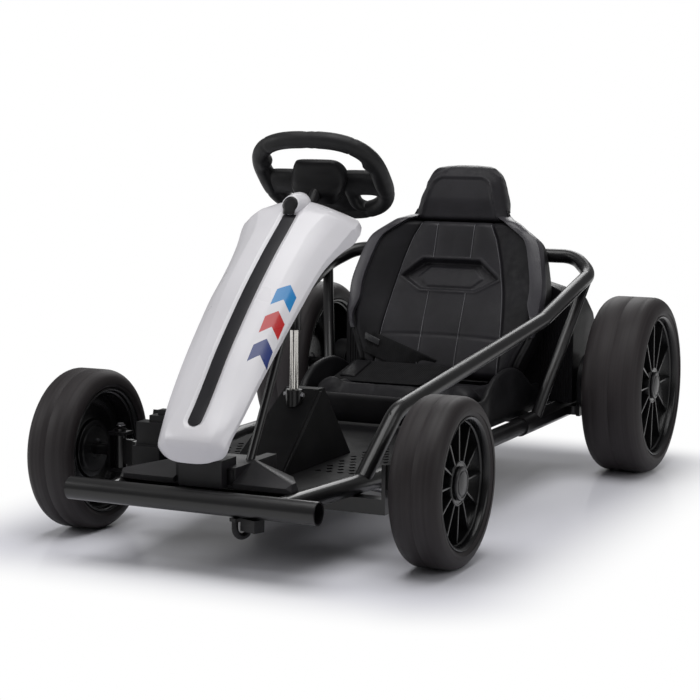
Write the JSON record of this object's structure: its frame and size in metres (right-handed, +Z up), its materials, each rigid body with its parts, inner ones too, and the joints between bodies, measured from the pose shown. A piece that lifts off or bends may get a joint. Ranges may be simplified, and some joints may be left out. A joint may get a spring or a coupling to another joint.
{
  "type": "electric drift kart",
  "caption": "Low electric drift kart with an open tube frame, slick spoked wheels, a sloping nose fairing, a steering wheel on a jointed column and a bucket seat.",
  "frame": {"origin": "on the floor, under the middle of the overall length and of the overall width", "axes": "+X forward, +Y to the kart's left, +Z up; the wheels roll about +Y"},
  "size_m": [1.201, 0.737, 0.5968],
  "materials": {
    "frame_black": "satin",
    "black_plastic": "matte",
    "white_gloss": "gloss",
    "stripe_black": "satin",
    "seat_leather": "satin",
    "chrome_steel": "polished",
    "bright_steel": "brushed",
    "slick_tyre": "matte",
    "rim_black": "gloss",
    "soft_grip": "matte",
    "battery_case": "matte"
  },
  "bodies": {
    "chassis": {"front_bumper": "frame_black", "main_rails": "frame_black", "rear_frame": "frame_black", "side_hoop": "frame_black", "hoop_struts": "frame_black", "front_axle_beam": "frame_black", "floor_pan": "black_plastic", "nose_base": "black_plastic", "tow_loop": "frame_black", "throttle_pedal": "black_plastic", "console": "black_plastic", "shaft_collar": "frame_black", "fairing_stays": "frame_black", "nose_fairing": "white_gloss", "nose_stripe": "stripe_black", "seat_base": "black_plastic", "battery_block": "battery_case", "seat_cushion": "seat_leather", "seat_shell": "black_plastic", "seat_back_pad": "seat_leather", "headrest": "seat_leather", "rear_housing": "black_plastic", "rear_axle": "bright_steel", "drive_motor_left": "black_plastic", "drive_motor_right": "black_plastic"},
    "steering_wheel": {"upper_column": "chrome_steel", "steering_hub": "black_plastic", "steering_rim": "soft_grip"},
    "lower_shaft": {"steering_shaft": "chrome_steel"},
    "left_knuckle": {"knuckle_left": "frame_black"},
    "right_knuckle": {"knuckle_right": "frame_black"},
    "left_tie_rod": {"tie_rod_left": "bright_steel"},
    "right_tie_rod": {"tie_rod_right": "bright_steel"},
    "front_left_wheel": {"tyre_front_left": "slick_tyre", "rim_front_left": "rim_black"},
    "front_right_wheel": {"tyre_front_right": "slick_tyre", "rim_front_right": "rim_black"},
    "rear_left_wheel": {"tyre_rear_left": "slick_tyre", "rim_rear_left": "rim_black"},
    "rear_right_wheel": {"tyre_rear_right": "slick_tyre", "rim_rear_right": "rim_black"}
  },
  "joints": [
    {"name": "steering_turn", "type": "hinge", "parent": "chassis", "child": "steering_wheel", "pos_m": [0.1795, 0, 0.53], "axis": [-0.6947, 0, 0.7193], "range_deg": [-40, 40]},
    {"name": "shaft_turn", "type": "hinge", "parent": "chassis", "child": "lower_shaft", "pos_m": [0.2725, 0, 0.2], "axis": [0, 0, 1], "range_deg": [-30.5, 30.5]},
    {"name": "left_knuckle_steer", "type": "hinge", "parent": "chassis", "child": "left_knuckle", "pos_m": [0.3875, 0.231, 0.12], "axis": [0, 0, 1], "range_deg": [-24.5, 24.5]},
    {"name": "right_knuckle_steer", "type": "hinge", "parent": "chassis", "child": "right_knuckle", "pos_m": [0.3875, -0.231, 0.12], "axis": [0, 0, 1], "range_deg": [-24.5, 24.5]},
    {"name": "left_rod_swing", "type": "hinge", "parent": "left_knuckle", "child": "left_tie_rod", "pos_m": [0.3375, 0.231, 0.084], "axis": [0, 0, 1], "range_deg": [-26, 26]},
    {"name": "right_rod_swing", "type": "hinge", "parent": "right_knuckle", "child": "right_tie_rod", "pos_m": [0.3375, -0.231, 0.084], "axis": [0, 0, 1], "range_deg": [-26, 26]},
    {"name": "front_left_roll", "type": "hinge", "parent": "left_knuckle", "child": "front_left_wheel", "pos_m": [0.3875, 0.287, 0.12], "axis": [0, 1, 0], "continuous": true},
    {"name": "front_right_roll", "type": "hinge", "parent": "right_knuckle", "child": "front_right_wheel", "pos_m": [0.3875, -0.287, 0.12], "axis": [0, 1, 0], "continuous": true},
    {"name": "rear_left_roll", "type": "hinge", "parent": "chassis", "child": "rear_left_wheel", "pos_m": [-0.4455, 0.316, 0.155], "axis": [0, 1, 0], "continuous": true},
    {"name": "rear_right_roll", "type": "hinge", "parent": "chassis", "child": "rear_right_wheel", "pos_m": [-0.4455, -0.316, 0.155], "axis": [0, 1, 0], "continuous": true}
  ],
  "couplings": [
    {"joint": "shaft_turn", "follows": "steering_turn", "ratio": 0.75},
    {"joint": "left_knuckle_steer", "follows": "steering_turn", "ratio": 0.6},
    {"joint": "right_knuckle_steer", "follows": "steering_turn", "ratio": 0.6},
    {"joint": "left_rod_swing", "follows": "steering_turn", "ratio": -0.633},
    {"joint": "right_rod_swing", "follows": "steering_turn", "ratio": -0.633}
  ]
}
